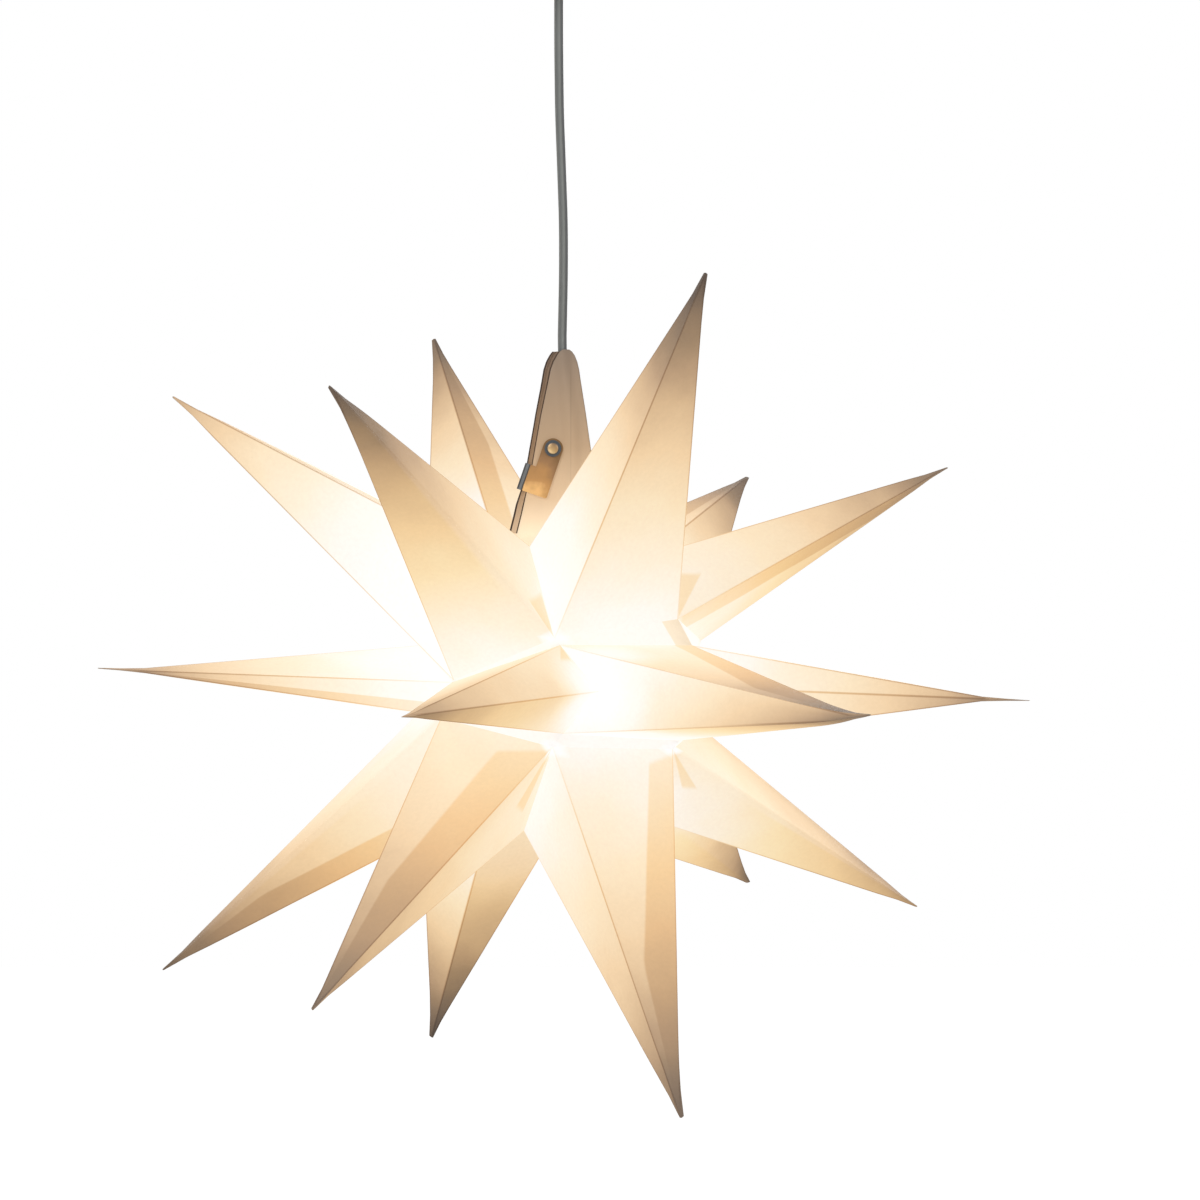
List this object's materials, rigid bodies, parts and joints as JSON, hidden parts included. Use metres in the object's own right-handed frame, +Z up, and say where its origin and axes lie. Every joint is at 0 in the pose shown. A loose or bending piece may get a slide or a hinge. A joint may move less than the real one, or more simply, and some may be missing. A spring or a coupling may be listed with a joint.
{
  "type": "folded paper star lantern",
  "caption": "Folded paper star lantern of long pyramid spikes, lit from inside, hanging on its cable from a ceiling cup.",
  "frame": {"origin": "middle of the ceiling cup's open face, which lies on the ceiling", "axes": "+Z up towards the ceiling, -Y towards the viewer and the neck clip, +X to the right"},
  "size_m": [0.576, 0.5286, 0.7195],
  "materials": {
    "star_paper": "matt translucent card",
    "neck_paper": "matt card, pressed in layers",
    "clip_brass": "dull, a little worn",
    "cable_sheath": "satin",
    "lamp_plastic": "satin",
    "lamp_steel": "plated",
    "bulb_glass": "frosted, lit",
    "cup_plastic": "satin",
    "bracket_steel": "zinc plated",
    "nut_brass": "polished"
  },
  "bodies": {
    "lantern": {"sheet_front_left": "star_paper", "sheet_front_right": "star_paper", "sheet_right": "star_paper", "sheet_back_right": "star_paper", "sheet_back_left": "star_paper", "sheet_left": "star_paper", "neck_front_leaf": "neck_paper", "neck_back_leaf": "neck_paper", "clip_rivet": "clip_brass", "cable": "cable_sheath", "holder_gland": "lamp_plastic", "holder_cap": "lamp_plastic", "holder_shell": "lamp_plastic", "holder_contact": "lamp_steel", "bulb_base": "lamp_steel", "bulb_glass": "bulb_glass", "cup_gland": "cup_plastic", "ceiling_cup": "cup_plastic", "ceiling_bracket": "bracket_steel", "cup_nuts": "nut_brass"},
    "clip": {"clip_plate": "clip_brass"}
  },
  "joints": [
    {"name": "clip_swing", "type": "hinge", "parent": "lantern", "child": "clip", "pos_m": [-0.0036, 0, -0.324], "axis": [0, 1, 0], "range_deg": [0, 70]}
  ]
}
